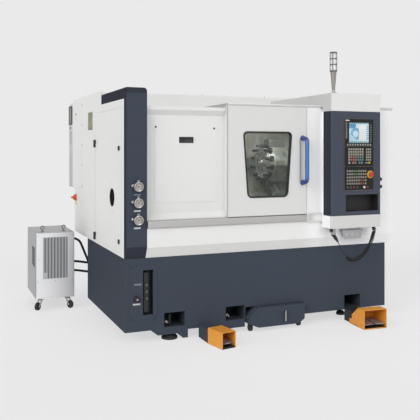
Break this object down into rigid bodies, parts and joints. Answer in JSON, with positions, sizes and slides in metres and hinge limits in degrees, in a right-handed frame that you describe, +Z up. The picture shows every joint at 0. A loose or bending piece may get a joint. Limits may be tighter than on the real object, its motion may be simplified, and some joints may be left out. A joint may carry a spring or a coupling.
{
  "type": "mini cnc lathe",
  "caption": "Compact slant-bed turning centre with sliding windowed door, swing-clear control column, indexing tool turret, chiller on hoses and hooded foot pedals.",
  "frame": {"origin": "centre of the footprint at floor level", "axes": "+X along the spindle from the headstock to the turret, +Y from the operator to the rear, +Z up"},
  "size_m": [2.65, 2.504, 2.095],
  "materials": {
    "base_navy": "satin textured paint",
    "column_navy": "satin paint",
    "body_white": "satin powder coat",
    "roof_white": "satin powder coat",
    "door_white": "satin powder coat",
    "cast_grey": "painted casting",
    "liner_grey": "satin sheet",
    "rail_aluminium": "anodised",
    "bright_steel": "ground",
    "gauge_chrome": "polished",
    "black_plastic": "moulded",
    "panel_black": "film overlay",
    "key_grey": "moulded keys",
    "screen_glass": "lit display",
    "lens_clear": "clear lens",
    "window_glass": "laminated pane",
    "gasket_rubber": "ribbed seal",
    "handle_blue": "anodised bar",
    "switch_orange": "moulded",
    "estop_red": "moulded",
    "chiller_grey": "silver paint",
    "grille_dark": "louvred",
    "hose_black": "hose",
    "pedal_orange": "gloss paint"
  },
  "bodies": {
    "machine": {"machine_base": "base_navy", "bed_casting": "cast_grey", "levelling_feet": "black_plastic", "valve_cover": "base_navy", "valve_manifold": "black_plastic", "column_cover": "column_navy", "pressure_gauges": "gauge_chrome", "side_frame": "body_white", "recess_panel": "body_white", "service_cover": "body_white", "front_frame": "body_white", "lower_skirt": "body_white", "right_housing": "body_white", "roof_panel": "roof_white", "roof_cap": "roof_white", "rear_panel": "body_white", "chamber_liner": "liner_grey", "door_rail": "rail_aluminium", "control_box": "column_navy", "key_panel": "panel_black", "screen": "screen_glass", "keypad": "key_grey", "operator_panel": "panel_black", "hanger_bracket": "bright_steel", "cable_socket": "black_plastic", "handwheel_lead": "hose_black", "handwheel_coil": "hose_black", "lamp_stem": "rail_aluminium", "lamp_lens": "lens_clear", "elec_cabinet": "body_white", "cabinet_cooler": "body_white", "headstock": "cast_grey", "chiller_body": "chiller_grey", "chiller_grille": "grille_dark", "hose_upper": "hose_black", "hose_middle": "hose_black", "hose_lower": "hose_black", "pedal_single": "pedal_orange", "pedal_double": "pedal_orange"},
    "sliding_door": {"door_panel": "door_white", "door_window": "window_glass", "window_gasket": "gasket_rubber", "door_handle": "handle_blue"},
    "side_door": {"side_door": "door_white"},
    "cabinet_door": {"cabinet_door": "door_white"},
    "main_switch": {"main_switch": "switch_orange"},
    "spindle": {"spindle": "bright_steel", "chuck_body": "bright_steel"},
    "jaw_1": {"jaw_1": "bright_steel"},
    "jaw_2": {"jaw_2": "bright_steel"},
    "jaw_3": {"jaw_3": "bright_steel"},
    "carriage": {"carriage": "cast_grey"},
    "cross_slide": {"cross_slide": "cast_grey"},
    "turret": {"turret_disc": "bright_steel", "tool_holders": "black_plastic"},
    "estop_button": {"estop_button": "estop_red"},
    "treadle_single": {"treadle_single": "bright_steel"},
    "treadle_left": {"treadle_left": "bright_steel"},
    "treadle_right": {"treadle_right": "bright_steel"},
    "coolant_tank": {"coolant_tank": "base_navy"}
  },
  "joints": [
    {"name": "door_slide", "type": "slide", "parent": "machine", "child": "sliding_door", "axis": [-1, 0, 0], "range_m": [0, 0.595]},
    {"name": "side_door_hinge", "type": "hinge", "parent": "machine", "child": "side_door", "pos_m": [-0.9045, 0.002, 1], "axis": [0, 0, -1], "range_deg": [0, 105]},
    {"name": "cabinet_door_hinge", "type": "hinge", "parent": "machine", "child": "cabinet_door", "pos_m": [0.595, 0.991, 1.4], "axis": [0, 0, -1], "range_deg": [0, 110]},
    {"name": "main_switch_turn", "type": "hinge", "parent": "machine", "child": "main_switch", "pos_m": [-0.895, 0.802, 0.91], "axis": [1, 0, 0], "range_deg": [0, 90]},
    {"name": "spindle_spin", "type": "hinge", "parent": "machine", "child": "spindle", "pos_m": [-0.395, -0.545, 0.998], "axis": [1, 0, 0], "continuous": true},
    {"name": "jaw_1_slide", "type": "slide", "parent": "spindle", "child": "jaw_1", "axis": [0, 0, 1], "range_m": [-0.006, 0.004]},
    {"name": "jaw_2_slide", "type": "slide", "parent": "spindle", "child": "jaw_2", "axis": [0, -0.866, -0.5], "range_m": [-0.006, 0.004]},
    {"name": "jaw_3_slide", "type": "slide", "parent": "spindle", "child": "jaw_3", "axis": [0, 0.866, -0.5], "range_m": [-0.006, 0.004]},
    {"name": "carriage_slide", "type": "slide", "parent": "machine", "child": "carriage", "axis": [-1, 0, 0], "range_m": [-0.25, 0.38]},
    {"name": "cross_slide_travel", "type": "slide", "parent": "carriage", "child": "cross_slide", "axis": [0, -0.7071, -0.7071], "range_m": [-0.02, 0.11]},
    {"name": "turret_index", "type": "hinge", "parent": "cross_slide", "child": "turret", "pos_m": [0.505, -0.30317, 1.23983], "axis": [1, 0, 0], "continuous": true},
    {"name": "estop_push", "type": "slide", "parent": "machine", "child": "estop_button", "axis": [0, 1, 0], "range_m": [0, 0.005], "stiffness_N_per_m": 600},
    {"name": "treadle_single_press", "type": "hinge", "parent": "machine", "child": "treadle_single", "pos_m": [-0.29175, -1.08327, 0.034], "axis": [0.9816, 0.1908, 0], "range_deg": [0, 6], "stiffness_Nm_per_rad": 6, "springref_deg": -5.73},
    {"name": "treadle_left_press", "type": "hinge", "parent": "machine", "child": "treadle_left", "pos_m": [0.9261, -1.05109, 0.034], "axis": [0.9976, -0.0698, 0], "range_deg": [0, 6], "stiffness_Nm_per_rad": 6, "springref_deg": -5.73},
    {"name": "treadle_right_press", "type": "hinge", "parent": "machine", "child": "treadle_right", "pos_m": [1.01588, -1.05737, 0.034], "axis": [0.9976, -0.0698, 0], "range_deg": [0, 6], "stiffness_Nm_per_rad": 6, "springref_deg": -5.73},
    {"name": "tank_slide", "type": "slide", "parent": "machine", "child": "coolant_tank", "axis": [0, -1, 0], "range_m": [0, 0.5]}
  ],
  "couplings": [
    {"joint": "jaw_2_slide", "follows": "jaw_1_slide", "ratio": 1},
    {"joint": "jaw_3_slide", "follows": "jaw_1_slide", "ratio": 1}
  ]
}
